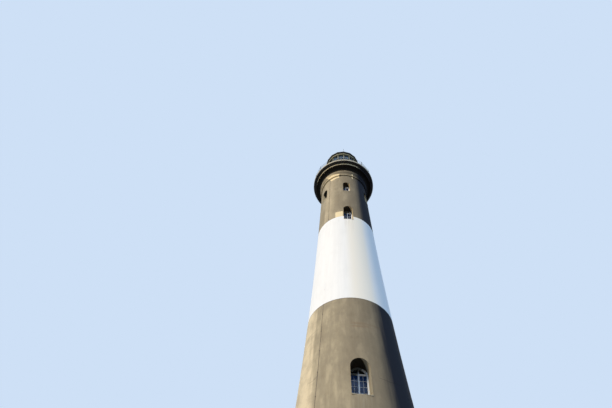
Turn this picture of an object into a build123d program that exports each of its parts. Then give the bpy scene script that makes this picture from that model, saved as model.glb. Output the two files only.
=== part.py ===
"""A tall round lighthouse of banded masonry with an iron lantern, as a model at half the real size.

Millimetres of the model, +Z up. The origin is on the tower's axis, at the underside of its base.
The front, with the door and the main window column, faces -Y.
"""

from build123d import *
from math import cos, degrees, pi, radians, sin, sqrt
import os

# The shaft: three paint bands of one height, a shorter one under the cornice, and the wall itself
band_height = 5575
upper_band_height = 4425
neck_radius = 1214
neck_wall_thickness = 389
shaft_taper = 378
shaft_flare = 945
shaft_steps = 4

# The granite base course and the floors
base_course_height = 200
base_course_projection = 45
base_block_count = 16
base_block_joint = 2
floor_clearance = 0.3
watch_floor_drop = 450
watch_floor_thickness = 75

# The doorway with its frame, its leaf and its step
door_width = 700
door_height = 1350
door_setback = 380
door_frame_bar = 55
door_frame_depth = 90
door_leaf_thickness = 40
door_step_depth = 260
door_step_width = 1000

# The windows: width, height, place against a band's edge, and how far the frame stands from the well
lower_window_width = 545
lower_window_height = 1180
lower_window_rise = 1835
lower_window_inset = 340
upper_window_width = 430
upper_window_height = 1210
upper_window_drop = 260
upper_window_inset = 100
watch_window_width = 360
watch_window_height = 995
watch_window_drop = 1850
watch_window_inset = 100
watch_window_count = 6
window_frame_bar = 40
window_frame_depth = 60
window_mullion = 30
window_glass_thickness = 6
window_clearance = 0.3

# The moulded cornice under the gallery; projections are from the neck
cornice_bead = 62
cornice_frieze_projection = 33
cornice_frieze_height = 225
cornice_ovolo_height = 200
cornice_ovolo_projection = 93
cornice_fillet = 15
cornice_cove_height = 200
cornice_fascia_height = 223
cornice_fascia_projection = 331

# The gallery deck and its railing
deck_overhang = 175
deck_thickness = 155
deck_drip = 25
railing_inset = 48
railing_height = 550
railing_bays = 16
railing_post_width = 16
railing_rail_radius = 6
railing_rail_sides = 8
railing_rail_count = 3
railing_gap = 0.5

# The lantern: parapet wall, glazing, walkway, gutter, roof, ventilator and rod
lantern_sides = 16
lantern_radius = 915
parapet_height = 1085
parapet_thickness = 22
panel_gap = 0.5
panel_margin = 38
panel_recess = 8
sill_height = 60
sill_projection = 20
glazing_height = 1490
post_width = 26
post_depth = 55
astragal_bar = 14
glass_thickness = 6
glass_clearance = 0.3
glass_tiers = 3
head_height = 175
head_thickness = 45
head_projection = 50
walkway_width = 235
walkway_thickness = 30
bracket_drop = 200
bracket_thickness = 14
bracket_tip = 40
bracket_clearance = 0.3
gutter_projection = 125
gutter_height = 75
gutter_wall = 12
roof_inset = 30
roof_rise = 850
roof_crown_radius = 150
roof_thickness = 14
roof_courses = 5
ventilator_neck_radius = 130
ventilator_neck_height = 150
ventilator_wall = 10
ventilator_ball_radius = 180
lightning_rod_radius = 8
lightning_rod_height = 460

# Heights and radii that follow from the sizes above
upper_band_foot = 3 * band_height
shaft_height = upper_band_foot + upper_band_height
well_radius = neck_radius - neck_wall_thickness
base_radius = neck_radius + shaft_taper + shaft_flare
deck_underside = (
    shaft_height
    + cornice_bead
    + cornice_frieze_height
    + cornice_ovolo_height
    + cornice_cove_height
    + cornice_fascia_height
)
deck_top = deck_underside + deck_thickness
parapet_top = deck_top + parapet_height
glazing_base = parapet_top + sill_height
head_base = glazing_base + glazing_height
gutter_base = head_base + head_height
gutter_floor = gutter_base + gutter_wall
gutter_rim = gutter_base + gutter_height
roof_top = gutter_floor + roof_rise
fascia_radius = neck_radius + cornice_fascia_projection
deck_radius = fascia_radius + deck_overhang
head_radius = lantern_radius + head_projection
gutter_radius = lantern_radius + gutter_projection

side_angles = {"right": 0, "back": 90, "left": 180, "front": 270}
front = 270
back = 90
lantern_turn = 360 / lantern_sides
half_turn = lantern_turn / 2

os.makedirs("parts", exist_ok=True)


def radial_plane(angle):
    """The upright plane through the axis: x runs outwards at this angle, y runs up."""
    a = radians(angle)
    return Plane(origin=(0, 0, 0), x_dir=(cos(a), sin(a), 0), z_dir=(sin(a), -cos(a), 0))


def facing_plane(angle, distance):
    """The upright plane across this direction: x runs along the wall, y runs up, z outwards."""
    a = radians(angle)
    return Plane(
        origin=(distance * cos(a), distance * sin(a), 0),
        x_dir=(-sin(a), cos(a), 0),
        z_dir=(cos(a), sin(a), 0),
    )


def at_angle(radius, angle):
    return (radius * cos(radians(angle)), radius * sin(radians(angle)))


def save(piece, name):
    piece.part.label = name
    export_step(piece.part, f"parts/{name}.step")


def arch(width, sill, crown):
    """A round-headed opening, drawn in the sketch that is open."""
    spring = crown - width / 2
    with Locations((0, (sill + spring) / 2)):
        Rectangle(width, spring - sill)
    with Locations((0, spring)):
        Circle(width / 2)


def through_arch(angle, width, sill, crown):
    """The space of a round-headed opening, from the axis out past the wall."""
    with BuildPart() as space:
        with BuildSketch(facing_plane(angle, 0)):
            arch(width, sill, crown)
        extrude(amount=base_radius + base_course_projection)
    return space.part


def shaft_radius(height):
    """The shaft's outer radius: a straight taper with a flare that grows towards the ground."""
    share = (shaft_height - height) / shaft_height
    return neck_radius + shaft_taper * share + shaft_flare * share**3


def shaft_section(angle, band, low, high):
    """The wall's upright section between two heights of one band, its outer line in short lengths."""
    foot, head = band
    heights = [foot + (head - foot) * step / shaft_steps for step in range(shaft_steps + 1)]
    outer = [(shaft_radius(height), height) for height in heights]
    with BuildSketch(radial_plane(angle)) as section:
        with BuildLine():
            Polyline(*outer, (well_radius, head), (well_radius, foot), close=True)
        make_face()
        with Locations((base_radius / 2, (low + high) / 2)):
            Rectangle(base_radius, high - low, mode=Mode.INTERSECT)
    return section.sketch


# The shaft: four quarters in each paint band, with the doorway and the windows cut through
door_sill = base_course_height
door_crown = door_sill + door_height
door_spring = door_crown - door_width / 2
lower_window_sill = band_height + lower_window_rise
lower_window_crown = lower_window_sill + lower_window_height
upper_window_sill = upper_band_foot - upper_window_drop
upper_window_crown = upper_window_sill + upper_window_height
watch_window_sill = shaft_height - watch_window_drop
watch_window_crown = watch_window_sill + watch_window_height
watch_window_step = 360 / watch_window_count
watch_window_angles = [front + watch_window_step * i for i in range(watch_window_count)]
main_window_angles = [front, back]
openings = [(front, door_width, door_sill, door_crown)]
for angle in main_window_angles:
    openings.append((angle, lower_window_width, lower_window_sill, lower_window_crown))
    openings.append((angle, upper_window_width, upper_window_sill, upper_window_crown))
for angle in watch_window_angles:
    openings.append((angle, watch_window_width, watch_window_sill, watch_window_crown))

bands = {
    "bottom": (base_course_height, band_height),
    "lower": (band_height, 2 * band_height),
    "middle": (2 * band_height, upper_band_foot),
    "upper": (upper_band_foot, shaft_height),
}
wall_pieces = []
for level, band in bands.items():
    for side in side_angles:
        wall_pieces.append((f"{side}_wall_{level}", side, band, *band))
wall_pieces.remove(("front_wall_bottom", "front", bands["bottom"], *bands["bottom"]))
wall_pieces.append(("front_wall_beside_door", "front", bands["bottom"], door_sill, door_spring))
wall_pieces.append(("front_wall_over_door", "front", bands["bottom"], door_spring, band_height))

for name, side, band, low, high in wall_pieces:
    middle = side_angles[side]
    with BuildPart() as wall:
        revolve(shaft_section(middle - 45, band, low, high), axis=Axis.Z, revolution_arc=90)
        for angle, width, sill, crown in openings:
            turned = (angle - middle + 180) % 360 - 180
            if abs(turned) < 45 and crown > low and sill < high:
                add(through_arch(angle, width, sill, crown), mode=Mode.SUBTRACT)
    save(wall, name)

# The base course: granite blocks as deep as the wall, which stands on them
block_turn = 360 / base_block_count
block_outer = base_radius + base_course_projection
block_joint_turn = degrees(base_block_joint / block_outer)
with BuildPart() as base_course:
    for i in range(base_block_count):
        with BuildSketch(radial_plane(front + (i - 0.5) * block_turn)):
            with BuildLine():
                Polyline(
                    (well_radius, 0),
                    (block_outer, 0),
                    (block_outer, base_course_height - base_course_projection),
                    (shaft_radius(base_course_height), base_course_height),
                    (well_radius, base_course_height),
                    close=True,
                )
            make_face()
        revolve(axis=Axis.Z, revolution_arc=block_turn - block_joint_turn)
save(base_course, "base_course")

with BuildPart() as door_step:
    with BuildSketch():
        with Locations((0, -block_outer)):
            Rectangle(door_step_width, 2 * door_step_depth)
        Circle(block_outer + floor_clearance, mode=Mode.SUBTRACT)
    extrude(amount=base_course_height / 2)
save(door_step, "door_step")

# The floors: the ground floor inside the base course, and the watch room's
watch_floor_top = watch_window_sill - watch_floor_drop
with BuildPart() as ground_floor:
    with BuildSketch():
        Circle(well_radius - floor_clearance)
    extrude(amount=base_course_height)
save(ground_floor, "ground_floor")

with BuildPart() as watch_room_floor:
    with BuildSketch(Plane.XY.offset(watch_floor_top - watch_floor_thickness)):
        Circle(well_radius - floor_clearance)
    extrude(amount=watch_floor_thickness)
save(watch_room_floor, "watch_room_floor")


def arched_frame(plane, width, sill, crown, bar, depth):
    """An arched frame that fits an opening, with its back on the plane."""
    with BuildPart() as ring:
        with BuildSketch(plane):
            arch(width - 2 * window_clearance, sill + window_clearance, crown - window_clearance)
        extrude(amount=depth)
        with BuildSketch(plane):
            arch(width - 2 * bar, sill + bar, crown - bar)
        extrude(amount=depth, mode=Mode.SUBTRACT)
    return ring.part


# The windows: frames with a mullion and a transom, and one sheet of glass behind the bars
windows = {
    "lower": (
        main_window_angles,
        lower_window_width,
        lower_window_sill,
        lower_window_crown,
        well_radius + lower_window_inset,
    ),
    "upper": (
        main_window_angles,
        upper_window_width,
        upper_window_sill,
        upper_window_crown,
        well_radius + upper_window_inset,
    ),
    "watch_room": (
        watch_window_angles,
        watch_window_width,
        watch_window_sill,
        watch_window_crown,
        well_radius + watch_window_inset,
    ),
}
for row, (angles, width, sill, crown, distance) in windows.items():
    spring = crown - width / 2
    bars_back = distance + window_frame_bar / 2
    with BuildPart() as window_frames:
        for angle in angles:
            plane = facing_plane(angle, distance)
            add(arched_frame(plane, width, sill, crown, window_frame_bar, window_frame_depth))
            with BuildSketch(facing_plane(angle, bars_back)):
                with Locations((0, (sill + crown) / 2)):
                    Rectangle(window_mullion, crown - sill - window_frame_bar)
                with Locations((0, spring)):
                    Rectangle(width - window_frame_bar, window_mullion)
            extrude(amount=distance + window_frame_depth - bars_back)
    save(window_frames, f"{row}_window_frames")

    glass_edge = window_frame_bar + window_clearance
    with BuildPart() as window_glass:
        for angle in angles:
            with BuildSketch(facing_plane(angle, bars_back - window_glass_thickness)):
                arch(width - 2 * glass_edge, sill + glass_edge, crown - glass_edge)
            extrude(amount=window_glass_thickness)
    save(window_glass, f"{row}_window_glass")

# The entrance: an arched frame and a plank leaf inside it, shut
door_distance = base_radius - door_setback - door_frame_depth
with BuildPart() as door_frame:
    plane = facing_plane(front, door_distance)
    add(arched_frame(plane, door_width, door_sill, door_crown, door_frame_bar, door_frame_depth))
save(door_frame, "door_frame")

door_edge = door_frame_bar + window_clearance
with BuildPart() as door_leaf:
    with BuildSketch(facing_plane(front, door_distance + door_leaf_thickness / 2)):
        arch(door_width - 2 * door_edge, door_sill + door_edge, door_crown - door_edge)
    extrude(amount=door_leaf_thickness)
save(door_leaf, "door_leaf")

# The cornice: bead, frieze, ovolo and a deep cove up to the fascia that carries the deck
frieze_base = shaft_height + cornice_bead
frieze_top = frieze_base + cornice_frieze_height
ovolo_top = frieze_top + cornice_ovolo_height
cove_top = ovolo_top + cornice_cove_height
frieze_radius = neck_radius + cornice_frieze_projection
ovolo_radius = neck_radius + cornice_ovolo_projection
cove_start = ovolo_radius + cornice_fillet
cove_end = fascia_radius - cornice_fillet
for side, middle in side_angles.items():
    with BuildPart() as cornice:
        with BuildSketch(radial_plane(middle - 45)):
            with BuildLine():
                Line((well_radius, shaft_height), (frieze_radius, shaft_height))
                ThreePointArc(
                    (frieze_radius, shaft_height),
                    (frieze_radius + cornice_bead / 2, shaft_height + cornice_bead / 2),
                    (frieze_radius, frieze_base),
                )
                Line((frieze_radius, frieze_base), (frieze_radius, frieze_top))
                ThreePointArc(
                    (frieze_radius, frieze_top),
                    (
                        frieze_radius + (ovolo_radius - frieze_radius) * sin(pi / 3),
                        frieze_top + cornice_ovolo_height * (1 - cos(pi / 3)),
                    ),
                    (ovolo_radius, ovolo_top),
                )
                Polyline((ovolo_radius, ovolo_top), (cove_start, ovolo_top))
                ThreePointArc(
                    (cove_start, ovolo_top),
                    (
                        cove_start + (cove_end - cove_start) * (1 - cos(pi / 4)),
                        ovolo_top + cornice_cove_height * sin(pi / 4),
                    ),
                    (cove_end, cove_top),
                )
                Polyline(
                    (cove_end, cove_top),
                    (fascia_radius, cove_top),
                    (fascia_radius, deck_underside),
                    (well_radius, deck_underside),
                    (well_radius, shaft_height),
                )
            make_face()
        revolve(axis=Axis.Z, revolution_arc=90)
    save(cornice, f"{side}_cornice")

# The gallery deck: one iron floor with a drip edge, also the lantern's floor
with BuildPart() as gallery_deck:
    with BuildSketch(radial_plane(0)):
        with BuildLine():
            Polyline(
                (0, deck_underside),
                (deck_radius - deck_drip, deck_underside),
                (deck_radius, deck_underside + deck_drip),
                (deck_radius, deck_top),
                (0, deck_top),
                close=True,
            )
        make_face()
    revolve(axis=Axis.Z)
save(gallery_deck, "gallery_deck")

# The gallery railing: bays of one square post with its rails, which stop short of the next post
railing_radius = deck_radius - railing_inset
bay_turn = 360 / railing_bays
chord = 2 * railing_radius * sin(radians(bay_turn / 2))
rail_length = chord - railing_post_width * 0.6 - railing_gap
rail_spacing = (railing_height - 2 * railing_rail_radius) / railing_rail_count
with BuildPart() as gallery_railing:
    for i in range(railing_bays):
        angle = front + (i - 0.5) * bay_turn
        run = angle + bay_turn / 2 + 90
        x, y = at_angle(railing_radius, angle)
        outwards = (cos(radians(angle)), sin(radians(angle)), 0)
        with BuildSketch(Plane(origin=(x, y, deck_top), x_dir=outwards, z_dir=(0, 0, 1))):
            Rectangle(railing_post_width, railing_post_width)
        extrude(amount=railing_height)
        for rail in range(railing_rail_count):
            height = deck_top + rail_spacing * (rail + 1)
            direction = (cos(radians(run)), sin(radians(run)), 0)
            with BuildSketch(Plane(origin=(x, y, height), x_dir=(0, 0, 1), z_dir=direction)):
                RegularPolygon(railing_rail_radius, railing_rail_sides)
            extrude(amount=rail_length)
save(gallery_railing, "gallery_railing")


def lantern_ring(low, high, outer, inner):
    """A ring with as many sides as the lantern, with a corner at the front."""
    with BuildPart() as ring:
        with BuildSketch(Plane.XY.offset(low)):
            RegularPolygon(outer, lantern_sides, rotation=front)
            RegularPolygon(inner, lantern_sides, rotation=front, mode=Mode.SUBTRACT)
        extrude(amount=high - low)
    return ring.part


# The lantern's parapet: recessed cast panels between the corners, one of them a door at the back
flat_ratio = cos(radians(half_turn))
panel_face = lantern_radius * flat_ratio
panel_half = lantern_radius * sin(radians(half_turn)) - panel_gap / 2
panel_inner_half = (lantern_radius - parapet_thickness) * sin(radians(half_turn)) - panel_gap / 2
door_panel = lantern_sides // 2
panel_inside = panel_face - parapet_thickness * flat_ratio


def panel(index):
    """One parapet panel, mitred at its corners, with a recessed field on its outer side."""
    angle = front + (index + 0.5) * lantern_turn
    outwards = (cos(radians(angle)), sin(radians(angle)), 0)
    with BuildPart() as plate:
        with BuildSketch(Plane(origin=(0, 0, deck_top), x_dir=outwards, z_dir=(0, 0, 1))):
            Polygon(
                (panel_inside, -panel_inner_half),
                (panel_face, -panel_half),
                (panel_face, panel_half),
                (panel_inside, panel_inner_half),
                align=None,
            )
        extrude(amount=parapet_height)
        with BuildSketch(facing_plane(angle, panel_face)):
            with Locations((0, deck_top + parapet_height / 2)):
                Rectangle(2 * (panel_half - panel_margin), parapet_height - 2 * panel_margin)
        extrude(amount=-panel_recess, mode=Mode.SUBTRACT)
    return plate.part


with BuildPart() as lantern_parapet:
    for i in range(lantern_sides):
        if i != door_panel:
            add(panel(i))
save(lantern_parapet, "lantern_parapet")

with BuildPart() as lantern_door:
    add(panel(door_panel))
save(lantern_door, "lantern_door")

walkway_inner = lantern_radius + sill_projection
with BuildPart() as lantern_sill:
    add(lantern_ring(parapet_top, glazing_base, walkway_inner, lantern_radius - post_depth))
save(lantern_sill, "lantern_sill")

# The glazing: a post at each corner, panes between them and bars at the joints of the panes
post_middle = lantern_radius - post_depth / 2
with BuildPart() as lantern_posts:
    for i in range(lantern_sides):
        with BuildSketch(facing_plane(front + i * lantern_turn, lantern_radius - post_depth)):
            with Locations((0, glazing_base + glazing_height / 2)):
                Rectangle(post_width, glazing_height)
        extrude(amount=post_depth)
save(lantern_posts, "lantern_posts")

pane_face = post_middle * flat_ratio


def half_between_posts(plane_distance):
    """Half the clear width between two posts, on a plane this far from the axis."""
    beside_post = plane_distance * sin(radians(half_turn)) - post_width / 2
    return (beside_post - glass_clearance) / flat_ratio


pane_back = pane_face - glass_thickness
with BuildPart() as lantern_glass:
    for i in range(lantern_sides):
        angle = front + (i + 0.5) * lantern_turn
        with BuildSketch(facing_plane(angle, pane_back)):
            with Locations((0, glazing_base + glazing_height / 2)):
                Rectangle(2 * half_between_posts(pane_back), glazing_height)
        extrude(amount=glass_thickness)
save(lantern_glass, "lantern_glass")

with BuildPart() as lantern_astragals:
    for i in range(lantern_sides):
        angle = front + (i + 0.5) * lantern_turn
        for tier in range(1, glass_tiers):
            with BuildSketch(facing_plane(angle, pane_face)):
                with Locations((0, glazing_base + glazing_height * tier / glass_tiers)):
                    Rectangle(2 * half_between_posts(pane_face), astragal_bar)
            extrude(amount=astragal_bar)
save(lantern_astragals, "lantern_astragals")

with BuildPart() as lantern_head:
    add(lantern_ring(head_base, gutter_base, head_radius, lantern_radius - head_thickness))
save(lantern_head, "lantern_head")

# The narrow outer walkway round the foot of the glazing
walkway_outer = walkway_inner + walkway_width
with BuildPart() as lantern_walkway:
    add(lantern_ring(glazing_base - walkway_thickness, glazing_base, walkway_outer, walkway_inner))
save(lantern_walkway, "lantern_walkway")

# Brackets under the walkway, one at each corner of the parapet
bracket_top = glazing_base - walkway_thickness
bracket_heel = lantern_radius + bracket_clearance
bracket_step = walkway_inner + bracket_clearance
bracket_nose = walkway_outer - bracket_tip
with BuildPart() as walkway_brackets:
    for i in range(lantern_sides):
        with BuildSketch(radial_plane(front + i * lantern_turn)):
            with BuildLine():
                Polyline(
                    (bracket_heel, parapet_top - bracket_drop),
                    (bracket_heel, parapet_top),
                    (bracket_step, parapet_top),
                    (bracket_step, bracket_top),
                    (bracket_nose, bracket_top),
                    (bracket_nose, bracket_top - bracket_tip),
                )
                RadiusArc(
                    (bracket_nose, bracket_top - bracket_tip),
                    (bracket_heel, parapet_top - bracket_drop),
                    -(bracket_nose - bracket_heel),
                )
            make_face()
        extrude(amount=bracket_thickness / 2, both=True)
save(walkway_brackets, "walkway_brackets")

# The gutter, the many-sided roof in flat courses, the ventilator and the lightning rod
with BuildPart() as lantern_gutter:
    add(lantern_ring(gutter_base, gutter_floor, gutter_radius, lantern_radius - head_thickness))
    add(lantern_ring(gutter_floor, gutter_rim, gutter_radius, gutter_radius - gutter_wall))
save(lantern_gutter, "lantern_gutter")

roof_foot_radius = gutter_radius - gutter_wall - roof_inset


def roof_form(foot_radius, crown_radius, rise):
    """A closed dome with as many sides as the lantern, its courses following a quarter ellipse."""
    with BuildPart() as dome:
        for course in range(roof_courses + 1):
            lean = radians(90 * course / roof_courses)
            radius = crown_radius + (foot_radius - crown_radius) * cos(lean)
            with BuildSketch(Plane.XY.offset(gutter_floor + rise * sin(lean))):
                RegularPolygon(radius, lantern_sides, rotation=front)
        loft(ruled=True)
    return dome.part


with BuildPart() as lantern_roof:
    add(roof_form(roof_foot_radius, roof_crown_radius, roof_rise))
    add(
        roof_form(
            roof_foot_radius - roof_thickness,
            roof_crown_radius - roof_thickness,
            roof_rise - roof_thickness,
        ),
        mode=Mode.SUBTRACT,
    )
save(lantern_roof, "lantern_roof")

ball_centre = roof_top + ventilator_neck_height + ventilator_ball_radius
bore_radius = ventilator_neck_radius - ventilator_wall
bore_rise = sqrt((ventilator_ball_radius - ventilator_wall) ** 2 - bore_radius**2)
with BuildPart() as ventilator:
    with BuildSketch(Plane.XY.offset(roof_top)):
        Circle(ventilator_neck_radius)
    extrude(amount=ball_centre - roof_top)
    with Locations((0, 0, ball_centre)):
        Sphere(ventilator_ball_radius)
    with BuildSketch(Plane.XY.offset(roof_top)):
        Circle(bore_radius)
    extrude(amount=ball_centre + bore_rise - roof_top, mode=Mode.SUBTRACT)
save(ventilator, "ventilator")

rod_x, rod_y = at_angle(gutter_radius - gutter_wall - lightning_rod_radius / flat_ratio, front)
with BuildPart() as lightning_rod:
    with BuildSketch(Plane(origin=(rod_x, rod_y, gutter_floor))):
        Circle(lightning_rod_radius)
    extrude(amount=gutter_rim - gutter_floor + lightning_rod_height)
save(lightning_rod, "lightning_rod")
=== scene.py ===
"""The looks of a banded masonry lighthouse, a model at half the real size, around its CAD frame.

Metres of the model, +Z up. Angles round the tower are counted from the front, which faces -Y,
towards +X, so that an angle grows to the right of someone who faces the door.
"""

from collections import namedtuple
from math import atan2, cos, degrees, hypot, pi, radians, sin, sqrt

import bmesh
import bpy
from bpy.props import FloatProperty, FloatVectorProperty, IntProperty, PointerProperty
from bpy.types import Operator, Panel, PropertyGroup
from mathutils import Matrix, Vector


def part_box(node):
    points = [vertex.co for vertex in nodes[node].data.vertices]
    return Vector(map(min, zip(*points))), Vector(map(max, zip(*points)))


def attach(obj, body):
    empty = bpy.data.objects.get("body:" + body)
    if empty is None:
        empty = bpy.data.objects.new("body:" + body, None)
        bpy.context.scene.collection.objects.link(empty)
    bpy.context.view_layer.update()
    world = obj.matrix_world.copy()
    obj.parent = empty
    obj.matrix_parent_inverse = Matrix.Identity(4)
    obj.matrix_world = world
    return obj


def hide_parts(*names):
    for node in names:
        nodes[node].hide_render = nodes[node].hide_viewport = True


bl_info = {
    "name": "Banded Lighthouse",
    "version": (1, 0, 0),
    "blender": (4, 5, 0),
    "location": "3D View > Sidebar > Lighthouse",
    "description": "Finishes and fittings for a banded masonry lighthouse",
    "category": "Object",
}

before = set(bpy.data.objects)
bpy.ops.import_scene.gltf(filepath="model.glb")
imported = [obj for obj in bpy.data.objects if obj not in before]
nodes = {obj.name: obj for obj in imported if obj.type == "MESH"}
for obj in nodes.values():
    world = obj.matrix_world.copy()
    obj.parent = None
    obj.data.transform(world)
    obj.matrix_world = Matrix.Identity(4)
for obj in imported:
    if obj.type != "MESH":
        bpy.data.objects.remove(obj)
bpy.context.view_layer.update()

SIDES = ("front", "right", "back", "left")
LANTERN_SIDES = 16
LANTERN_TURN = 360 / LANTERN_SIDES

# Where the paint bands meet
LOWER_BAND_FOOT, LOWER_BAND_TOP = (corner.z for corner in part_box("front_wall_lower"))
UPPER_BAND_FOOT, SHAFT_TOP = (corner.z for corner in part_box("front_wall_upper"))
CORNICE_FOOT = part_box("front_cornice")[0].z

# The shaft's outer line, as in the CAD: a straight taper and a flare towards the ground
NECK_RADIUS = 1.214
NECK_DEGREE = NECK_RADIUS * radians(1)
SHAFT_TAPER = 0.378
SHAFT_FLARE = 0.945
WELL_RADIUS = 0.825
FIT_CLEARANCE = 0.0003

# The cornice's mouldings, foot and top
BEAD, FRIEZE = (21.15, 21.212), (21.213, 21.437)
COVE, FASCIA = (21.637, 21.935), (21.935, 22.1)

# Marks on the dark bands, by their corners: an angle in degrees and a height in metres
PEELED_UNDER_BEAD = ((-37.5, 20.86), (-17.0, 20.98), (-16.0, 21.40), (-53.5, 21.57))
LEVEL_CRACKS = (
    ((-54.5, 8.15), (-48.5, 8.13), (-42.5, 8.22)),
    ((17.5, 8.02), (25.5, 7.99), (39.5, 8.08), (61.5, 8.04)),
)

# How paint changes round the tower, painted shade and painted sunlight among the changes: the angles
# from the front where a change starts and ends
WEATHER_EDGE, WEATHER_START = (-40.0, -54.0), (-150.0, -115.0)
ALOFT_EDGE, ALOFT_START = (-20.0, -40.0), (-66.0, -50.0)
SHADE_GRADIENT, SHADE_EDGE, SHADE_END = (-42.0, 34.0), (17.0, 36.0), (170.0, 125.0)
SUNLIT_START, SUNLIT_END, WHITE_SHADE_EDGE = (-12.0, 4.0), (36.0, 22.0), (24.0, 48.0)
EDGE_RAGGEDNESS = 26.0
EDGE_LEAN = 3.4
EDGE_LEAN_FOOT = 7.4
SHADOW_LEAN = 0.9
STAIN_LENGTH = 1.6
SPLASH_TOP = 1.3

BASE_BLOCKS = 16
BLOCK_JOINT = 0.002
BASE_CHAMFER = 0.045
GLASS_DEPTH = 0.040
STILE_PROUD = 0.006
PLANK_GAP = 0.002
STRAP_HEIGHT = 0.034
STRAP_DEPTH = 0.006
RAILING_INSET = 0.048
FLANGE_RADIUS = 0.034
FLANGE_THICKNESS = Vector((0, 0, 0.008))
FLANGE_BOLTS = 0.022
PANEL_BOLT_INSET = 0.019
ROOF_COURSES = 5
ROOF_CROWN_RADIUS = 0.150
VENTILATOR_NECK = 0.130
HALF_PIN = Vector((0, 0, 0.03))


def srgb(red, green, blue):
    """The linear colour that a screen colour of 0 to 255 stands for."""

    def linear(level):
        share = level / 255
        return share / 12.92 if share <= 0.04045 else ((share + 0.055) / 1.055) ** 2.4

    return (linear(red), linear(green), linear(blue))


def shaded(base, factor, lift=0.0):
    """A lighter or darker kind of a colour."""
    return tuple(min(1.0, channel * factor + lift) for channel in base)


def colour(name, description, default):
    return FloatVectorProperty(
        name=name, description=description, default=default, size=3, min=0, max=1, subtype="COLOR"
    )


def length(name, description, default):
    return FloatProperty(
        name=name, description=description, default=default, min=0, unit="LENGTH", precision=4
    )


def angle(name, description, default):
    return FloatProperty(
        name=name, description=description, default=radians(default), unit="ROTATION"
    )


def number(name, description, default):
    return FloatProperty(name=name, description=description, default=default)


def count(name, description, default):
    return IntProperty(name=name, description=description, default=default, min=1)


class LighthousePaint(PropertyGroup):
    dark: colour("Dark paint", "Faded dark paint of two bands and the cornice", srgb(175, 161, 132))
    dark_grey: colour("Greyed paint", "Dark paint where it has gone grey", srgb(150, 138, 115))
    # painted shade: near-black paint on the side of the tower that the key light doesn't reach
    painted_shade_dark: colour("Fresh paint", "Dark paint on the lee side, hardly faded", srgb(28, 33, 44))
    # random dark tone, and painted shade that deepens round towards the side away from the key light
    deep: colour("Deep paint", "Dark paint on its way to the lee side", srgb(116, 101, 80))
    bleached: colour("Bleached paint", "Dark paint on the weather side", srgb(226, 207, 170))
    # real wear on the sills and in rain stains, and a painted highlight on the lower windows' jambs
    worn: colour("Worn paint", "Paint on the jambs and the sills", srgb(198, 192, 170))
    # real where paint has peeled; a painted highlight on the upper openings' jambs, the bead and the
    # fascia
    plaster: colour("Bare plaster", "Cream plaster where paint has peeled", srgb(246, 224, 178))
    white: colour("White paint", "Paint of the light bands", srgb(249, 247, 241))
    white_dull: colour("Dull white", "White paint where rain has dulled it", srgb(238, 236, 230))
    # painted shade: a greyer, bluer white on the side the key light doesn't reach
    white_painted_shade: colour("Lee white", "White paint on the damp lee side", srgb(226, 230, 232))
    # painted sunlight: a warmer white where the key light grazes the wall
    white_painted_sunlight: colour("Yellowed white", "White paint that has yellowed", srgb(249, 241, 224))
    limewash: colour("Limewash", "The walls inside", srgb(225, 220, 206))
    # painted shade on the openings' heads, in the cove and on the frieze; the real dark of cracks and
    # of the line at the band's top
    dark_marks_and_shade: colour("Sooty paint", "Paint in the cove and on the openings' heads", srgb(27, 24, 21))
    rust: colour("Rust stain", "Thin rust runs on the walls", srgb(150, 110, 78))


class LighthouseStone(PropertyGroup):
    granite: colour("Granite", "Base course and door step", srgb(158, 154, 148))
    speck: colour("Granite speck", "Dark grains in the granite", srgb(92, 90, 88))
    arris: length("Worn edge", "Width of the blocks' rounded edges", 0.006)
    cut: count("Cuts", "Steps along a block's curved face", 6)


class LighthouseJoinery(PropertyGroup):
    timber: colour("Window paint", "White paint on frames and bars", srgb(242, 246, 249))
    # painted shadow on the window frames' arched heads
    frame_head_shade: colour("Mildew", "Green and sooty paint on the sheltered heads", srgb(50, 58, 48))
    door: colour("Door paint", "Dark paint on the door's planks", srgb(62, 66, 64))
    frame_bar: length("Frame bar", "Width of a window's arched outer frame", 0.034)
    frame_depth: length("Frame depth", "Depth of a window's outer frame", 0.060)
    mullion: length("Mullion", "Width of the upright bar between the casements", 0.026)
    transom: length("Transom", "Height of the level bar above the casements", 0.022)
    transom_lift: number("Transom lift", "Transom above the arch's foot, of its radius", 0.22)
    bar_width: length("Bar width", "Width of a glazing bar", 0.006)
    bar_depth: length("Bar depth", "How far a glazing bar stands out from the glass", 0.010)
    stile: length("Stile", "Width of the casement's own frame", 0.010)
    sill_thickness: length("Sill thickness", "Thickness of a window sill", 0.020)
    sill_overhang: length("Sill overhang", "How far a sill stands out from the wall", 0.004)
    watch_width: length("Watch window width", "Clear width of a watch room window", 0.360)
    planks: count("Planks", "Planks in the door leaf", 6)


class LighthouseIron(PropertyGroup):
    gallery: colour("Gallery iron", "Black paint on the deck and railing", srgb(28, 28, 30))
    lantern: colour("Lantern iron", "Faded dark paint on the lantern", srgb(140, 135, 105))
    # painted highlight on the deck's outer edge
    rim_highlight: colour("Deck rim", "Pale paint on the deck's outer edge", srgb(178, 169, 143))
    roof: colour("Roof iron", "Paint on the roof's plates", srgb(52, 53, 52))
    rust: colour("Iron rust", "Rust that comes through the paint", srgb(112, 66, 40))
    copper: colour("Copper", "Weathered copper of the conductor", srgb(98, 88, 72))
    verdigris: colour("Verdigris", "Green that spreads on the rod", srgb(86, 120, 98))
    strip_width: length("Conductor width", "Width of the conductor strip", 0.013)
    strip_depth: length("Conductor depth", "Thickness of the conductor strip", 0.006)
    strip_turn: angle("Conductor place", "Angle of the conductor from the front", -42.9)
    clip_pitch: length("Clip pitch", "Distance between the conductor's clips", 0.75)
    rib: length("Roof rib", "Width of the ribs on the roof's edges", 0.022)


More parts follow.
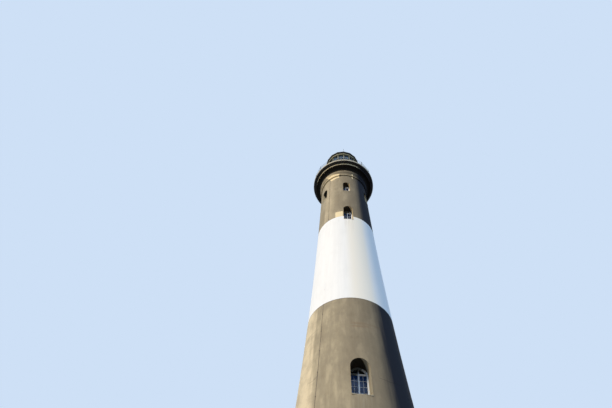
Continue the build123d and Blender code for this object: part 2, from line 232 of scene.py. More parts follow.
class LighthouseGlass(PropertyGroup):
    # painted reflection: the sky's blue on the glass
    window: colour("Window glass", "Window glass where it takes the sky's blue", srgb(30, 64, 114))
    head: colour("Head glass", "Window glass in the shade of the arch", srgb(26, 34, 38))
    lantern: colour("Lantern glass", "Tint of the lantern's panes", srgb(128, 168, 200))


class LighthouseStage(PropertyGroup):
    backdrop: colour("Backdrop", "Plain background", srgb(206, 224, 246))
    ground: colour("Floor", "Plain pale floor", srgb(226, 226, 224))
    key: number("Key light", "Strength of the main light", 2.6)
    key_tint: colour("Key tint", "Colour of the main light", (1.0, 0.80, 0.54))
    back: number("Back light", "Strength of the light behind", 1.5)
    fill: number("Fill light", "Strength of the light all round", 0.94)
    softness: angle("Softness", "Width of the main light in the sky", 14)
    key_turn: angle("Key place", "Angle of the main light from the front", -48.5)
    key_rise: angle("Key rise", "Height of the main light above the floor", 30)
    lens: number("Lens", "Camera lens in millimetres", 24)
    eye: length("Eye height", "Height of the camera", 0.8)
    reach: length("Camera distance", "From the camera to the tower's axis", 10.9)
    turn: angle("Tower turn", "Angle between the windows and the camera's line", 7.8)
    pitch: angle("Pitch", "How far the camera looks up", 60.41)
    yaw: angle("Yaw", "How far the camera looks past the tower", -10.83)
    roll: angle("Roll", "How far the camera leans", -6.656)


GROUPS = {
    "lighthouse_paint": LighthousePaint,
    "lighthouse_stone": LighthouseStone,
    "lighthouse_joinery": LighthouseJoinery,
    "lighthouse_iron": LighthouseIron,
    "lighthouse_glass": LighthouseGlass,
    "lighthouse_stage": LighthouseStage,
}


class Pattern:
    """A value that changes over a material, and the sums that can be done with it."""

    def __init__(self, tree, socket):
        self.tree = tree
        self.socket = socket

    def math(self, operation, *others, clamp=False):
        inputs = dict(enumerate((self, *others)))
        return self.tree.pattern("Math", inputs, operation=operation, use_clamp=clamp)

    def __add__(self, other):
        return self.math("ADD", other)

    def __sub__(self, other):
        return self.math("SUBTRACT", other)

    def __mul__(self, other):
        return self.math("MULTIPLY", other)

    def __truediv__(self, other):
        return self.math("DIVIDE", other)

    def opposite(self):
        return self * -1.0 + 1.0

    def step(self, low, high):
        """0 below low, 1 above high, with a soft change between them; low may be the larger."""
        inputs = {"Value": self, "From Min": min(low, high), "From Max": max(low, high)}
        if low > high:
            inputs.update({"To Min": 1, "To Max": 0})
        return self.tree.pattern("MapRange", inputs, interpolation_type="SMOOTHSTEP")

    def between(self, low, high, soft):
        return self.step(low - soft, low + soft) * self.step(high + soft, high - soft)


def any_of(first, *others):
    """The largest of some patterns, place by place."""
    for other in others:
        first = first.math("MAXIMUM", other)
    return first


class Tree:
    """The nodes of a material or a world."""

    def __init__(self, owner):
        owner.use_nodes = True
        self.nodes = owner.node_tree.nodes
        self.links = owner.node_tree.links

    def node(self, kind, inputs=None, **settings):
        """A new node with its settings, and then its inputs, by name or by number."""
        made = self.nodes.new(f"ShaderNode{kind}")
        for name, value in settings.items():
            setattr(made, name, value)
        for name, value in (inputs or {}).items():
            self.feed(made.inputs[name], value)
        return made

    def pattern(self, kind, inputs=None, output=0, **settings):
        """One output of a new node."""
        return Pattern(self, self.node(kind, inputs, **settings).outputs[output])

    def feed(self, socket, value):
        """A socket takes a pattern, a colour or a plain value."""
        if isinstance(value, Pattern):
            self.links.new(value.socket, socket)
        elif socket.type == "RGBA":
            socket.default_value = (*value, 1)
        else:
            socket.default_value = value


class Finish(Tree):
    """A material in the making: one Principled shader, and a colour that coats are laid on."""

    def __init__(self, name, base, roughness):
        self.material = bpy.data.materials.new(name)
        super().__init__(self.material)
        self.shader = self.nodes["Principled BSDF"].inputs
        self.shader["Roughness"].default_value = roughness
        self.place = self.pattern("TexCoord", output="Object")
        self.colour = base

    def done(self):
        self.feed(self.shader["Base Color"], self.colour)
        return self.material

    def coat(self, new_colour, share, strength=1.0):
        """Lays a new colour on where share is 1, as thickly as strength says."""
        inputs = {0: share * strength, 6: self.colour, 7: new_colour}
        self.colour = self.pattern("Mix", inputs, 2, data_type="RGBA", clamp_factor=True)

    def bump(self, height, depth, strength=1.0):
        inputs = {"Height": height, "Distance": depth, "Strength": strength}
        self.feed(self.shader["Normal"], self.pattern("Bump", inputs))

    def noise(self, scale, detail=3.0, stretch=(1, 1, 1), offset=(0, 0, 0), roughness=0.55):
        inputs = {"Vector": self.place, "Location": offset, "Scale": stretch}
        place = self.pattern("Mapping", inputs)
        inputs = {"Vector": place, "Scale": scale, "Detail": detail, "Roughness": roughness}
        return self.pattern("TexNoise", inputs)

    def vector(self, operation, first, second, output=0):
        return self.pattern("VectorMath", {0: first, 1: second}, output, operation=operation)

    def survey(self):
        """Takes the angle from the front in degrees, the distance from the axis and the height."""
        axes = self.node("SeparateXYZ", {0: self.place}).outputs
        x, y, self.height = (Pattern(self, axis) for axis in axes)
        self.turn = x.math("ARCTAN2", y * -1.0) * (180 / pi)
        self.reach = (x * x + y * y).math("SQRT")

    def shadow_tilt(self, row):
        """The height, tilted across each opening so that painted shadow on its head slopes as a shadow
        from the key light does.
        """
        pitch = 360 / len(row.turns)
        nearest = (self.turn / pitch).math("ROUND") * pitch
        across = radians(1) * shaft_radius(row.crown) * SHADOW_LEAN
        return self.height - (self.turn - nearest) * across

    def inside(self, turn, height, corners, soft):
        """1 within an outline whose corners run anticlockwise."""
        within = height * 0.0 + 1.0
        for (turn_a, height_a), (turn_b, height_b) in zip(corners, corners[1:] + corners[:1]):
            across, rise = (turn_b - turn_a) * NECK_DEGREE, height_b - height_a
            run = hypot(across, rise)
            sideways = (turn - turn_a) * (-rise * NECK_DEGREE / run)
            upwards = (height - height_a) * (across / run)
            within = within * (sideways + upwards).step(-soft, soft)
        return within

    def crack(self, corners, width):
        """A thin line, a little crooked, through corners."""
        drift = (self.noise(7.0, 4.0) - 0.5) * 0.10
        place = self.pattern("CombineXYZ", {0: self.turn * NECK_DEGREE, 1: self.height + drift})
        lines = []
        for (turn_a, height_a), (turn_b, height_b) in zip(corners, corners[1:]):
            run = ((turn_b - turn_a) * NECK_DEGREE, height_b - height_a, 0.0)
            offset = self.vector("SUBTRACT", place, (turn_a * NECK_DEGREE, height_a, 0.0))
            along = self.vector("DOT_PRODUCT", offset, run, 1)
            share = along.math("DIVIDE", run[0] ** 2 + run[1] ** 2, clamp=True)
            foot = self.pattern("VectorMath", {0: run, "Scale": share}, operation="SCALE")
            lines.append(self.vector("DISTANCE", offset, foot, 1).step(width, width * 0.3))
        return any_of(*lines)


def dress(material, *names):
    """Puts a material on CAD nodes, which keep their shape."""
    for name in names:
        piece = nodes[name]
        if not piece.material_slots:
            piece.data.materials.append(material)
        for slot in piece.material_slots:
            slot.link = "OBJECT"
            slot.material = material


def add(name, data):
    made = bpy.data.objects.new(name, data)
    bpy.context.scene.collection.objects.link(made)
    return made


def mesh_from(bm, name, material):
    mesh = bpy.data.meshes.new(name)
    bm.to_mesh(mesh)
    bm.free()
    mesh.materials.append(material)
    return mesh


def finish_piece(bm, name, material, replaced=(), smooth=40):
    """Turns a bmesh into a piece that rides on the tower."""
    bmesh.ops.recalc_face_normals(bm, faces=bm.faces[:])
    mesh = mesh_from(bm, name, material)
    if smooth:
        mesh.shade_smooth()
        mesh.set_sharp_from_angle(angle=radians(smooth))
    piece = add(name, mesh)
    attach(piece, "root")
    if replaced:
        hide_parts(*replaced)
    return piece


def facing(turn, distance):
    """A place on the tower: x runs along the wall, y up and z outwards."""
    a = radians(turn)
    out = Vector((sin(a), -cos(a), 0))
    place = Matrix.Identity(4)
    place.col[0].xyz = (cos(a), sin(a), 0)
    place.col[1].xyz = (0, 0, 1)
    place.col[2].xyz = out
    place.col[3].xyz = out * distance
    return place


def all_round(distance, shift=0.5):
    """A place on each side of the lantern, or on each of its corners with a shift of 0."""
    return [facing((index + shift) * LANTERN_TURN, distance) for index in range(LANTERN_SIDES)]


def edges_of(verts):
    """Each edge once, in an order that is the same in every run."""
    return list(dict.fromkeys(edge for vert in verts for edge in vert.link_edges))


def box(bm, place, centre, size, bevel=0.0):
    """A box in a place's own directions, with its edges rounded off where bevel is given."""
    shape = Matrix.Translation(centre) @ Matrix.Diagonal((*size, 1))
    verts = bmesh.ops.create_cube(bm, size=1, matrix=place @ shape)["verts"]
    if bevel:
        round_off(bm, edges_of(verts), bevel)
    return verts


def long_box(bm, centre, size, axis, cuts):
    """A box that is not placed yet, cut across one of its axes so that it can be bent."""
    verts = box(bm, Matrix.Identity(4), centre, size)
    along = [
        edge
        for edge in edges_of(verts)
        if abs(edge.verts[0].co[axis] - edge.verts[1].co[axis]) > size[axis] / 2
    ]
    bmesh.ops.subdivide_edges(bm, edges=along, cuts=cuts, use_grid_fill=True)


def round_off(bm, edges, width):
    bmesh.ops.bevel(
        bm,
        geom=edges,
        offset=width,
        affect="EDGES",
        segments=2,
        profile=0.5,
        material=-1,
        clamp_overlap=True,
    )


def rod(bm, start, end, radius, sides=8, end_radius=None):
    """A round bar between two points, or a taper where end_radius is given."""
    run = end - start
    turned = run.to_track_quat("Z", "Y").to_matrix().to_4x4()
    bmesh.ops.create_cone(
        bm,
        cap_ends=True,
        segments=sides,
        radius1=radius,
        radius2=end_radius or radius,
        depth=run.length,
        matrix=Matrix.Translation((start + end) / 2) @ turned,
    )


def bolt(bm, place, centre, width, height):
    """A round bolt head that stands out along a place's z."""
    start = place @ Vector(centre)
    out = place.col[2].xyz * height
    rod(bm, start - out * 0.3, start + out, width / 2, end_radius=width * 0.3)


def hinge_pin(bm, place, centre, radius):
    middle = place @ Vector(centre)
    rod(bm, middle - HALF_PIN, middle + HALF_PIN, radius, sides=12)


def sweep(bm, geom, turn, steps, centre=(0, 0, 0)):
    """Sweeps a section round an upright axis; a full turn closes on itself."""
    bmesh.ops.spin(
        bm, geom=geom, cent=centre, axis=(0, 0, 1), angle=turn, steps=steps, use_merge=turn == 2 * pi
    )


def put(bm, before, place):
    """Moves what was made since before to its place."""
    made = [vert for vert in bm.verts if vert not in before]
    bmesh.ops.transform(bm, matrix=place, verts=made)


def curved_bar(bm, place, centre, radius, width, depth, steps=20):
    """Half a ring above centre, as deep as it is told, standing on a place's x and y."""
    before = set(bm.verts)
    verts = bmesh.ops.create_grid(bm, x_segments=1, y_segments=1, size=0.5)["verts"]
    section = Matrix.Translation(Vector(centre) + Vector((radius, 0, depth / 2)))
    section = section @ Matrix.Rotation(pi / 2, 4, "X") @ Matrix.Diagonal((width, depth, 1, 1))
    bmesh.ops.transform(bm, matrix=section, verts=verts)
    sweep(bm, [verts[0].link_faces[0]], pi, steps, centre)
    put(bm, before, place)


def ring(bm, place, radius, section_radius, steps, sides):
    """A round ring about a place's z."""
    before = set(bm.verts)
    verts = bmesh.ops.create_circle(bm, segments=sides, radius=section_radius)["verts"]
    upright = Matrix.Translation((radius, 0, 0)) @ Matrix.Rotation(pi / 2, 4, "X")
    bmesh.ops.transform(bm, matrix=upright, verts=verts)
    sweep(bm, edges_of(verts), 2 * pi, steps)
    put(bm, before, place)


def close_ends(bm):
    bmesh.ops.holes_fill(bm, edges=[edge for edge in bm.edges if edge.is_boundary], sides=0)


def spread(first, last, number_of):
    """Evenly spaced values from first to last."""
    return [first + (last - first) * index / (number_of - 1) for index in range(number_of)]


def shaft_radius(height):
    share = (SHAFT_TOP - height) / SHAFT_TOP
    return NECK_RADIUS + SHAFT_TAPER * share + SHAFT_FLARE * share**3


WindowRow = namedtuple("WindowRow", "name turns panes radius sill spring crown transom face")


def window_rows():
    """The rows of windows, read from the frames in the CAD."""
    joinery = bpy.context.scene.lighthouse_joinery
    rows = []
    for name, turns, panes in (
        ("lower", (0, 180), 5),
        ("upper", (0, 180), 4),
        ("watch_room", tuple(range(0, 360, 60)), 3),
    ):
        low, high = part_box(f"{name}_window_frames")
        # the frames of the watch room stand all round, so their box doesn't give one's width
        radius = (high.x - low.x) / 2 + FIT_CLEARANCE
        if name == "watch_room":
            radius = joinery.watch_width / 2
        sill, crown = low.z - FIT_CLEARANCE, high.z + FIT_CLEARANCE
        spring = crown - radius
        transom = spring + joinery.transom_lift * radius
        rows.append(WindowRow(name, turns, panes, radius, sill, spring, crown, transom, -low.y))
    return rows


class Masonry(Finish):
    """Paint on cement render, with brushed streaks as strong as told, and soft clouds."""

    def __init__(self, name, light, dull, streaks):
        super().__init__(name, light, 0.9)
        self.shader["Specular IOR Level"].default_value = 0.1
        self.survey()
        self.streak = self.noise(1.0, 5.0, stretch=(6.0, 6.0, 0.30))
        self.grain = self.noise(70.0, 2.0)
        brush = self.noise(1.0, stretch=(22.0, 22.0, 1.2), offset=(3, 1, 0))
        cloud = self.noise(1.1, 8.0, offset=(5, 0, 2), roughness=0.70)
        self.coat(dull, self.streak.step(0.66, 0.36), streaks)
        self.coat(dull, brush.step(0.62, 0.36), streaks * 0.45)
        self.coat(dull, cloud.step(0.44, 0.68), streaks * 1.1)

    def run_stains(self, stain, strength):
        """Rain has drawn the dirt of each sill down the wall below it."""
        drips = self.noise(1.0, stretch=(22.0, 22.0, 0.5), offset=(0, 7, 0))
        marks = []
        for row in window_rows():
            half = degrees(row.radius / shaft_radius(row.sill)) * 1.08
            fade = self.height.step(row.sill - STAIN_LENGTH, row.sill - 0.1)
            below = self.height.step(row.sill + 0.02, row.sill - 0.02)
            wrapped = self.turn.math("ABSOLUTE").math("PINGPONG", 180 / len(row.turns))
            marks.append(fade * below * wrapped.step(half, half * 0.8))
        self.coat(stain, any_of(*marks) * drips.step(0.42, 0.68), strength)

    def reveals(self, paint):
        """Inside the openings the surfaces are painted pale, a painted highlight for sunlit jambs, and
        painted shadow darkens the heads, lower the deeper it lies.
        """
        for row in window_rows():
            crown_face, sill_face = shaft_radius(row.crown), shaft_radius(row.sill)
            batter = (sill_face - crown_face) / (row.crown - row.sill)
            wall_face = self.height * -batter + (crown_face + batter * row.crown)
            depth = wall_face - self.reach
            # painted shadow on each head: it reaches lower the deeper it lies in the opening, and
            # slopes across it as a shadow from the key light does
            fall = 1.6 * row.radius / (crown_face - row.face)
            edge = row.crown - row.radius * 0.08
            head = (self.shadow_tilt(row) + depth * fall).step(edge - 0.04, edge + 0.04)
            opening = self.height.between(row.sill - 0.05, row.crown + 0.05, 0.01)
            within = depth.step(0.006, 0.014) * opening
            # painted highlight: the insides of the openings are painted pale, standing in for sunlit
            # jambs
            pale, share = (paint.worn, 0.5) if row.name == "lower" else (paint.plaster, 0.6)
            self.coat(pale, within, share)
            self.coat(paint.dark_marks_and_shade, within * head, 0.95)

    def finish(self, paint, strength, sunk=()):
        """Adds the openings, the walls inside and a relief in which some marks are sunk."""
        self.reveals(paint)
        self.coat(paint.limewash, self.reach.step(WELL_RADIUS + 0.004, WELL_RADIUS + 0.001))
        relief = self.grain * 0.25 + self.streak * 0.5
        for mark, depth in sunk:
            relief = relief - mark * depth
        self.bump(relief, 0.006, strength)
        return self.done()


def dark_band_finish(name, paint, cornice=False):
    wall = Masonry(name, paint.dark, paint.dark_grey, 0.55)
    # the weather side, from the conductor round to the left, has lost most of its colour,
    # and its edge leans back a few degrees a metre as it rises
    ragged = (wall.streak - 0.5) * EDGE_RAGGEDNESS
    edge = wall.turn + ragged
    leaning_edge = edge + (wall.height - EDGE_LEAN_FOOT) * EDGE_LEAN
    lower = wall.height.step(UPPER_BAND_FOOT + 0.2, UPPER_BAND_FOOT - 0.2)
    side = leaning_edge.step(*WEATHER_EDGE) * edge.step(*WEATHER_START) * lower
    side_aloft = edge.step(*ALOFT_EDGE) * edge.step(*ALOFT_START) * lower.opposite()
    # old paint comes off in flakes: small patches, stronger where the weather beats on them
    flakes = wall.noise(2.4, 7.0, offset=(0, 7, 1), roughness=0.66).step(0.40, 0.66)
    tone = wall.noise(1.0, 4.0, stretch=(3.2, 3.2, 1.1), offset=(4, 1, 0), roughness=0.6)
    wall.coat(paint.dark_grey, flakes, 0.6)
    wall.coat(paint.bleached, tone.step(0.50, 0.66), 0.22)
    wall.coat(paint.deep, tone.step(0.50, 0.34), 0.22)
    wall.coat(paint.bleached, side * (flakes * 0.45).opposite(), 0.9)
    wall.coat(paint.bleached, side_aloft, 0.25)
    # broad level streaks, some of them rusty
    level = wall.noise(1.0, 4.0, stretch=(1.1, 1.1, 9.0), offset=(0, 2, 4))
    rusty = wall.turn.between(-6.5, 31.5, 4.0) * wall.height.between(9.75, 10.3, 0.10)
    wall.coat(paint.dark_grey, level.step(0.60, 0.72), 0.30)
    wall.coat(paint.rust, rusty * level.step(0.50, 0.64), 0.28)
    # painted shade: the paint darkens slowly round to the side that the key light doesn't reach, and is
    # near black there
    shade_side = (wall.turn + ragged * 0.6).step(*SHADE_EDGE) * edge.step(*SHADE_END)
    wall.coat(paint.deep, wall.turn.step(*SHADE_GRADIENT) * wall.turn.step(*SHADE_END), 0.68)
    wall.coat(paint.painted_shade_dark, shade_side, 0.97)
    wall.run_stains(paint.worn, 0.12)
    if cornice:
        # painted shade in the cove, which is dark paint as well, and lightly on the frieze; painted
        # highlight on the bead and the fascia, except on the shaded side
        for moulding, new_colour, share in (
            (COVE, paint.dark_marks_and_shade, 0.97),
            (FRIEZE, paint.dark_marks_and_shade, 0.2),
            (BEAD, paint.plaster, shade_side.opposite() * 0.5),
            (FASCIA, paint.plaster, shade_side.opposite()),
        ):
            wall.coat(new_colour, wall.height.between(*moulding, 0.003), share)
    # peeled plaster under the moulding and beside the upper window, and one pale mark
    rough = (wall.noise(5.0, 5.0) - 0.5) * 0.10
    height, turn = wall.height + rough, wall.turn + rough * 24.0
    peeled = any_of(
        wall.inside(turn, height, PEELED_UNDER_BEAD, 0.012),
        turn.between(-26.8, -11.3, 0.7) * height.between(UPPER_BAND_FOOT - 0.05, 17.20, 0.012),
        wall.turn.between(15.7, 18.5, 0.3) * height.between(20.95, 21.42, 0.02),
    )
    wall.coat(paint.plaster, peeled, 0.95)
    # cracks: one level line through the lower band, and a notch at the moulding
    cracked = any_of(
        *(wall.crack(corners, 0.010) for corners in LEVEL_CRACKS),
        wall.turn.between(-15.5, -11.5, 0.5) * wall.height.between(21.10, 21.2, 0.01),
    )
    wall.coat(paint.dark_marks_and_shade, cracked, 0.45)
    # a thin dark line where the band meets the white above it
    wall.coat(paint.dark_marks_and_shade, wall.height.between(LOWER_BAND_TOP - 0.022, LOWER_BAND_TOP + 0.1, 0.004), 0.6)
    return wall.finish(paint, 0.8, ((peeled, 0.8), (cracked, 0.5)))


def white_band_finish(paint):
    wall = Masonry("White_band_paint", paint.white, paint.white_dull, 0.45)
    # painted sunlight: a warmer white where the key light grazes the wall, from the front round to the
    # right; painted shade: a greyer, bluer white on the side the key light doesn't reach
    wall.coat(paint.white_painted_sunlight, wall.turn.step(*SUNLIT_START) * wall.turn.step(*SUNLIT_END))
    wall.coat(paint.white_painted_shade, wall.turn.step(*WHITE_SHADE_EDGE) * wall.turn.step(*SHADE_END), 0.9)
    wall.run_stains(paint.rust, 0.12)
    # rain brings the dark paint down over the top of a white band, and mud splashes the foot
    drips = wall.noise(1.0, 4.0, stretch=(16.0, 16.0, 0.4), offset=(9, 0, 0)).step(0.56, 0.74)
    tops = any_of(
        wall.height.between(UPPER_BAND_FOOT - 0.5, UPPER_BAND_FOOT + 1.0, 0.45),
        wall.height.between(LOWER_BAND_FOOT - 0.5, LOWER_BAND_FOOT, 0.45),
    )
    mud = wall.noise(3.0, 5.0).step(0.38, 0.62)
    wall.coat(paint.dark_grey, tops * drips, 0.12)
    wall.coat(paint.dark_grey, wall.height.step(SPLASH_TOP, 0.2) * mud, 0.35)
    return wall.finish(paint, 0.6)


def painted_iron(name, base, rust, rust_share, roughness=0.55):
    """Thick paint on cast iron, chalky in places, with rust coming through."""
    iron = Finish(name, base, roughness)
    spots = iron.noise(18.0, 5.0, roughness=0.7)
    runs = iron.noise(1.0, 4.0, stretch=(30.0, 30.0, 2.0), offset=(2, 2, 0))
    iron.coat(shaded(base, 1.35, 0.010), iron.noise(2.2, 4.0).step(0.42, 0.72))
    iron.coat(rust, spots.step(0.60, 0.70) * runs.step(0.45, 0.62), rust_share)
    iron.bump(spots, 0.0012, 0.5)
    return iron.done()


def granite_finish(stone):
    granite = Finish("Dressed_granite", stone.speck, 0.75)
    grain = granite.noise(55.0, 2.0, roughness=0.7)
    mica = granite.noise(120.0, 1.0, offset=(1, 2, 3))
    granite.coat(stone.granite, grain.step(0.42, 0.60))
    granite.coat(shaded(stone.granite, 1.5), mica.step(0.60, 0.68))
    granite.coat(stone.speck, granite.noise(2.5).step(0.45, 0.7), 0.3)
    granite.bump(grain, 0.003, 0.7)
    return granite.done()


def painted_timber(name, base, grime):
    """Paint on wood, with dirt in its grain, before anything else is added."""
    timber = Finish(name, base, 0.45)
    grain = timber.noise(1.0, 4.0, stretch=(60.0, 60.0, 4.0))
    timber.coat(shaded(base, grime), timber.noise(6.0, 4.0).step(0.45, 0.7), 0.5)
    timber.coat(shaded(base, grime), grain.step(0.6, 0.75), 0.25)
    timber.bump(grain, 0.001, 0.5)
    return timber


def smeared_glass(name, tint, smear_tint, transmission):
    """Old glass, before anything else is added."""
    glass = Finish(name, tint, 0.06)
    glass.shader["Transmission Weight"].default_value = transmission
    glass.shader["IOR"].default_value = 1.45
    smear = glass.noise(3.0)
    glass.coat(smear_tint, smear.step(0.45, 0.7))
    glass.bump(smear, 0.001, 0.3)
    return glass


def window_paint(joinery):
    """White paint, with a dark green painted shadow on the upper part of each arched head, lower on one
    side.
    """
    timber = painted_timber("White_joinery", joinery.timber, 0.96)
    timber.survey()
    for row in window_rows():
        low, high = row.spring + row.radius * 0.15, row.spring + row.radius * 0.5
        # painted shadow on each frame's arch, tilted as on the reveal's head
        head = timber.shadow_tilt(row).step(low, high)
        timber.coat(joinery.frame_head_shade, head * timber.height.between(row.sill, row.crown, 0.02), 0.85)
    return timber.done()


def window_glass(tints):
    """Blue below each transom, a painted sky reflection, and dark above it under the arch, painted
    shade.
    """
    glass = smeared_glass("Window_glass", tints.window, shaded(tints.window, 0.6), 0.25)
    glass.survey()
    for row in window_rows():
        glass.coat(tints.head, glass.height.between(row.transom, row.crown, 0.02))
    return glass.done()


def sill_render(paint):
    render = Finish("Sill_render", paint.dark, 0.9)
    pits = render.noise(30.0, 4.0)
    render.coat(paint.worn, pits.step(0.4, 0.7))
    render.bump(pits, 0.003)
    return render.done()


def strip_copper(iron, paint):
    """The strip is bare where the wall is dark, and under the wall's paint where it is white."""
    strip = Finish("Conductor_copper", iron.copper, 0.65)
    strip.survey()
    flakes = strip.noise(9.0, 4.0)
    white = any_of(
        strip.height.step(LOWER_BAND_FOOT + 0.01, LOWER_BAND_FOOT - 0.01),
        strip.height.between(LOWER_BAND_TOP, UPPER_BAND_FOOT, 0.01),
    )
    strip.coat(shaded(iron.copper, 0.7), flakes.step(0.4, 0.7))
    strip.coat(paint.white, white * flakes.step(0.74, 0.68))
    strip.bump(flakes, 0.001, 0.5)
    return strip.done()


def deck_plates(iron, rim_reach):
    """Cast floor plates: the joints between them run outwards from the lantern."""
    deck = Finish("Deck_plates", iron.gallery, 0.6)
    deck.survey()
    spots = deck.noise(14.0, 5.0, roughness=0.7)
    joint = (deck.turn.math("PINGPONG", LANTERN_TURN / 2) * deck.reach).step(0.6, 0.2)
    rim_highlight = deck.reach.step(rim_reach - 0.008, rim_reach - 0.004)
    deck.coat(shaded(iron.gallery, 1.8, 0.004), deck.noise(1.6).step(0.4, 0.7))
    deck.coat(iron.rust, spots.step(0.56, 0.68), 0.45)
    # painted highlight along the deck's outer edge
    deck.coat(iron.rim_highlight, rim_highlight * spots.step(0.70, 0.62))
    deck.bump(spots * 0.3 - joint, 0.004, 0.8)
    return deck.done()


class LIGHTHOUSE_OT_paint_walls(Operator):
    """Paint the shaft's bands, the reveals and the moulded cornice"""

    bl_idname = "lighthouse.paint_walls"
    bl_label = "Paint the Walls"

    def execute(self, context):
        paint = context.scene.lighthouse_paint
        dark = dark_band_finish("Dark_band_paint", paint)
        white = white_band_finish(paint)
        cornice = dark_band_finish("Cornice_paint", paint, cornice=True)
        for side in SIDES:
            dress(dark, f"{side}_wall_lower", f"{side}_wall_upper")
            dress(white, f"{side}_wall_middle")
            dress(cornice, f"{side}_cornice")
            if side != "front":
                dress(white, f"{side}_wall_bottom")
        dress(white, "front_wall_beside_door", "front_wall_over_door")
        return {"FINISHED"}


class LIGHTHOUSE_OT_lay_stone(Operator):
    """Lay the granite base course with worn edges, and finish the step and the ground floor"""

    bl_idname = "lighthouse.lay_stone"
    bl_label = "Lay the Stone"

    def execute(self, context):
        stone = context.scene.lighthouse_stone
        granite = granite_finish(stone)
        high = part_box("base_course")[1]
        outer, top = high.x, high.z
        profile = (
            (WELL_RADIUS, 0),
            (outer, 0),
            (outer, top - BASE_CHAMFER),
            (shaft_radius(top), top),
            (WELL_RADIUS, top),
        )
        turn, gap = 2 * pi / BASE_BLOCKS, BLOCK_JOINT / outer
        bm = bmesh.new()
        for index in range(BASE_BLOCKS):
            start = turn * (index - 0.5) + gap / 2 - pi / 2
            corners = [bm.verts.new((reach, 0, height)) for reach, height in profile]
            face = bm.faces.new(corners)
            bmesh.ops.rotate(bm, matrix=Matrix.Rotation(start, 3, "Z"), verts=corners)
            sweep(bm, [face], turn - gap, stone.cut)
        close_ends(bm)
        bmesh.ops.recalc_face_normals(bm, faces=bm.faces[:])
        sharp = [edge for edge in bm.edges if edge.calc_face_angle(0) > radians(30)]
        round_off(bm, sharp, stone.arris)
        finish_piece(bm, "base_blocks", granite, ("base_course",))
        dress(granite, "door_step", "ground_floor")
        return {"FINISHED"}


def window_frame(bm, row, turn, joinery):
    """The arched outer frame, with a mullion up to its crown and a transom across."""
    bar, depth = joinery.frame_bar, joinery.frame_depth
    place = facing(turn, row.face - depth)
    half = row.radius - FIT_CLEARANCE
    foot = row.sill + FIT_CLEARANCE
    for side in (-1, 1):
        centre = (side * (half - bar / 2), (foot + row.spring) / 2, depth / 2)
        box(bm, place, centre, (bar, row.spring - foot, depth), 0.004)
    box(bm, place, (0, foot + bar / 2, depth / 2), (2 * half, bar, depth), 0.004)
    curved_bar(bm, place, (0, row.spring, 0), half - bar / 2, bar, depth, steps=32)
    inner = depth - 0.020
    centre = (0, (foot + row.spring + half - bar / 2) / 2, depth - inner / 2)
    box(bm, place, centre, (joinery.mullion, row.spring + half - foot - bar, inner), 0.003)
    centre = (0, row.transom, depth - inner / 2)
    box(bm, place, centre, (2 * half - bar * 1.4, joinery.transom, inner), 0.003)


def casements(bm, row, turn, joinery):
    """Two casements with thin bars below the transom, and one sheet in a curved bar above."""
    place = facing(turn, row.face - GLASS_DEPTH)
    low, high = row.sill + joinery.frame_bar, row.transom - joinery.transom / 2
    inner, outer = joinery.mullion / 2, row.radius - joinery.frame_bar
    tall, wide, halfway = high - low, outer - inner, (low + high) / 2
    stile, bar, depth = joinery.stile, joinery.bar_width, joinery.bar_depth
    stile_depth = depth + STILE_PROUD
    for side in (-1, 1):
        middle = side * (inner + outer) / 2
        for x in (inner + stile / 2, outer - stile / 2):
            size = (stile, tall, stile_depth)
            box(bm, place, (side * x, halfway, stile_depth / 2), size, 0.003)
        for y in (low + stile / 2, high - stile / 2):
            box(bm, place, (middle, y, stile_depth / 2), (wide, stile, stile_depth), 0.003)
        box(bm, place, (middle, halfway, depth / 2), (bar, tall, depth), 0.002)
        for pane in range(1, row.panes):
            y = low + tall * pane / row.panes
            box(bm, place, (middle, y, depth / 2), (wide, bar, depth), 0.002)
    curved_bar(bm, place, (0, row.spring, 0), outer - stile / 2, stile, stile_depth)


def window_sill(bm, row, turn, joinery):
    """A sloping sill from the frame out past the wall's face."""
    run = shaft_radius(row.sill) + joinery.sill_overhang - row.face
    centre = Matrix.Translation((0, row.sill + 0.012, run / 2))
    place = facing(turn, row.face) @ centre @ Matrix.Rotation(radians(5), 4, "X")
    width = 2 * row.radius - 4 * FIT_CLEARANCE
    box(bm, place, (0, 0, 0), (width, joinery.sill_thickness, run), 0.005)


class LIGHTHOUSE_OT_fit_windows(Operator):
    """Fit casements, glazing bars and sills to every window"""

    bl_idname = "lighthouse.fit_windows"
    bl_label = "Fit the Windows"

    def execute(self, context):
        joinery = context.scene.lighthouse_joinery
        timber = window_paint(joinery)
        glass = window_glass(context.scene.lighthouse_glass)
        sills = bmesh.new()
        for row in window_rows():
            dress(glass, f"{row.name}_window_glass")
            frames, bars = bmesh.new(), bmesh.new()
            for turn in row.turns:
                window_frame(frames, row, turn, joinery)
                casements(bars, row, turn, joinery)
                window_sill(sills, row, turn, joinery)
            for bm, part, replaced in (
                (frames, "joinery", (f"{row.name}_window_frames",)),
                (bars, "bars", ()),
            ):
                close_ends(bm)
                finish_piece(bm, f"{row.name}_window_{part}", timber, replaced)
        finish_piece(sills, "window_sills", sill_render(context.scene.lighthouse_paint))
        return {"FINISHED"}


